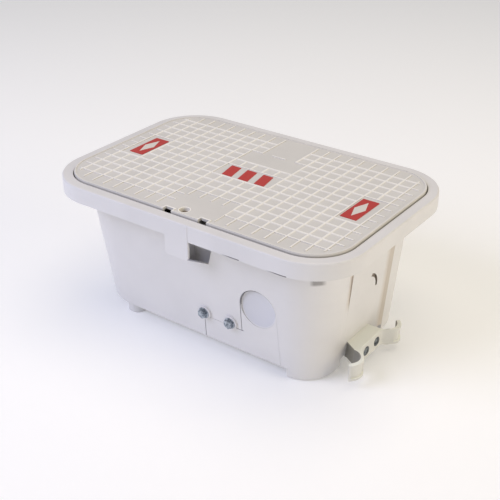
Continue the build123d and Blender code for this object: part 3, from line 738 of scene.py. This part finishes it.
# Tread hollows: soft slopes in the lid's own moulding and plastic, from the ribs down into each square.
# One hollow repeats over the lid, apart from the bays and the rounded corners.
square_pitch = 0.020
square_counts = (21, 12)
tread_reach = (0.172, 0.091)
tread_corner = 0.0517
hollow_half = 0.0091
hollow_slope = ((0.0, -0.0002), (0.0, 0.00082), (0.0009, 0.00045), (0.0026, -0.00005), (0.0026, -0.0002))
bare_bays = ((-0.210, -0.170, -0.040, 0.040), (0.170, 0.210, -0.040, 0.040), (-0.050, 0.050, -0.020, 0.020),
             (-0.050, 0.050, 0.040, 0.080), (-0.030, 0.030, 0.080, 0.152), (-0.050, 0.050, -0.152, -0.080))


def has_hollow(x, y):
    """Tells if the square about a point is inside the tread and in no bay."""
    past_x = max(abs(x) + square_pitch / 2 - tread_reach[0], 0)
    past_y = max(abs(y) + square_pitch / 2 - tread_reach[1], 0)
    in_bay = any(left < x < right and front < y < back for left, right, front, back in bare_bays)
    return math.hypot(past_x, past_y) < tread_corner and not in_bay


def spread(name, template, spots, finish):
    """Sets a copy of a shape at each spot."""
    tree, given, copies = copies_tree(name + "_spread", {"Spots": "NodeSocketGeometry"})
    tree.links.new(given["Spots"], copies.inputs["Points"])
    data = bpy.data.meshes.new(name)
    data.from_pydata(spots, [], [])
    return copied(name, data, tree, {"Shape": template, "Finish": finish})


hollow_mesh = bmesh.new()
hollow_rings = []
for inset, level in hollow_slope:
    half = hollow_half - inset
    square = ((half, half), (-half, half), (-half, -half), (half, -half))
    hollow_rings.append([hollow_mesh.verts.new((x, y, level)) for x, y in square])
for ring, next_ring in zip(hollow_rings, hollow_rings[1:] + hollow_rings[:1]):
    for i in range(4):
        j = (i + 1) % 4
        hollow_mesh.faces.new((ring[i], ring[j], next_ring[j], next_ring[i]))
square_hollow = mesh_object("square_hollow", hollow_mesh)
square_x = [(i - (square_counts[0] - 1) / 2) * square_pitch for i in range(square_counts[0])]
square_y = [(j - (square_counts[1] - 1) / 2) * square_pitch for j in range(square_counts[1])]
hollow_spots = [(x, y, lid_face) for x in square_x for y in square_y if has_hollow(x, y)]
tread_hollows = spread("tread_hollows", square_hollow, hollow_spots, lid_grey)
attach(tread_hollows, "cover")

# Marking plaques: red plastic plates glued in the end bays, each with a plain pale lozenge.
# Three slanted red bars of the same plastic mark the middle bay.
plaque_red = moulded_plastic("plaque_red", paint(196, 58, 52), paint(182, 48, 44),
                             roughness=0.35, grain=0.0008)
lozenge_pale = moulded_plastic("lozenge_pale", paint(226, 220, 212), paint(217, 211, 203),
                               roughness=0.45, grain=0.0008)
plate_bed = 0.0003
lozenge_half = (0.0085, 0.0235)
lozenge_rise = 0.00008
lozenge_edge = 0.00003
bar_half = (0.0085, 0.0165)
bar_slant = 0.006
bar_spacing = 0.0285
bar_rise = 0.0006
bar_edge = 0.0002


def flat_plate(name, outline, face, rise, edge, finish):
    """A thin plate bedded in a face, over an outline of (x, y) points, with its edges rounded a little."""
    mesh = prism(outline, face - plate_bed, face + rise)
    bmesh.ops.bevel(mesh, geom=list(mesh.edges), offset=edge, segments=2, affect="EDGES", profile=0.5)
    plate = mesh_object(name, mesh)
    plate.data.materials.append(finish)
    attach(plate, "cover")
    return plate


for name in ("plaque_left", "plaque_right"):
    finish_node(name, plaque_red)
    low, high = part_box(name)
    middle_x = (low[0] + high[0]) / 2
    middle_y = (low[1] + high[1]) / 2
    half_x, half_y = lozenge_half
    outline = [(middle_x - half_x, middle_y), (middle_x, middle_y - half_y), (middle_x + half_x, middle_y),
               (middle_x, middle_y + half_y)]
    lozenge = flat_plate(name + "_lozenge", outline, high[2], lozenge_rise, lozenge_edge, lozenge_pale)
for place in (-1, 0, 1):
    half_x, half_y = bar_half
    middle_x = place * bar_spacing
    outline = [(middle_x - half_x + bar_slant / 2, -half_y), (middle_x + half_x + bar_slant / 2, -half_y),
               (middle_x + half_x - bar_slant / 2, half_y), (middle_x - half_x - bar_slant / 2, half_y)]
    bar = flat_plate(f"marking_bar_{place + 2}", outline, lid_face, bar_rise, bar_edge, plaque_red)

# Lock: a cream plastic ferrule pressed into the lid, with a dark brown plastic barrel turning in it.
# A zinc ring holds the barrel from below, and a zinc nut its cam.
ferrule_cream = moulded_plastic("ferrule_cream", paint(255, 252, 244), paint(252, 246, 232),
                                roughness=0.38, grain=0.0006)
barrel_brown = moulded_plastic("barrel_brown", paint(104, 84, 58), paint(88, 70, 48),
                               roughness=0.42, grain=0.0006)
finish_node("lock_ferrule", ferrule_cream)
finish_node("lock_barrel", barrel_brown)
for name in ("lock_ring", "lock_cam", "lock_nut"):
    finish_node(name, zinc_plate)

# Studio: a plain pale floor, a large soft key light from the front left, a warm fill and a top light.
# The camera stands where the photograph was taken.
camera_place = Vector((0.7467, -1.0193, 0.7925))
camera_azimuth = math.radians(36.06)
camera_elevation = math.radians(28.76)
camera_lens = 69.2
camera_sensor = 36.0
camera = bpy.data.objects.new("camera", bpy.data.cameras.new("camera"))
bpy.context.scene.collection.objects.link(camera)
camera.data.lens = camera_lens
camera.data.sensor_width = camera_sensor
camera.location = camera_place
camera.rotation_euler = (math.pi / 2 - camera_elevation, 0, camera_azimuth)
bpy.context.scene.camera = camera
bpy.context.scene.view_settings.view_transform = "Standard"

floor_size = 8.0
floor_glow = 0.13
floor_mesh = bmesh.new()
bmesh.ops.create_grid(floor_mesh, x_segments=1, y_segments=1, size=floor_size)
floor = mesh_object("floor", floor_mesh)
floor_white = bpy.data.materials.new("floor_white")
floor_white.use_nodes = True
floor_inputs = floor_white.node_tree.nodes["Principled BSDF"].inputs
floor_inputs["Base Color"].default_value = (0.93, 0.93, 0.93, 1.0)
floor_inputs["Roughness"].default_value = 0.9
floor_inputs["Emission Color"].default_value = (1.0, 1.0, 1.0, 1.0)
floor_inputs["Emission Strength"].default_value = floor_glow
floor.data.materials.append(floor_white)

room_light = 0.35
world = bpy.data.worlds.new("studio")
world.use_nodes = True
world_inputs = world.node_tree.nodes["Background"].inputs
world_inputs["Color"].default_value = (1.0, 1.0, 1.0, 1.0)
world_inputs["Strength"].default_value = room_light
bpy.context.scene.world = world

light_aim = Vector((0, 0, 0.1))
for name, place, power, size, colour in (
    ("key", (-1.3, -2.0, 1.9), 42.0, 1.6, (0.69, 0.725, 1.0)),
    ("fill", (2.6, 0.3, 1.0), 22.6, 1.5, (1.0, 0.875, 0.64)),
    ("top", (0.15, 0.4, 2.4), 19.4, 2.0, (1.0, 0.89, 0.72)),
):
    lamp = bpy.data.objects.new(name, bpy.data.lights.new(name, "AREA"))
    bpy.context.scene.collection.objects.link(lamp)
    lamp.data.energy = power
    lamp.data.size = size
    lamp.data.color = colour
    lamp.location = place
    lamp.rotation_euler = (light_aim - Vector(place)).to_track_quat("-Z", "Y").to_euler()
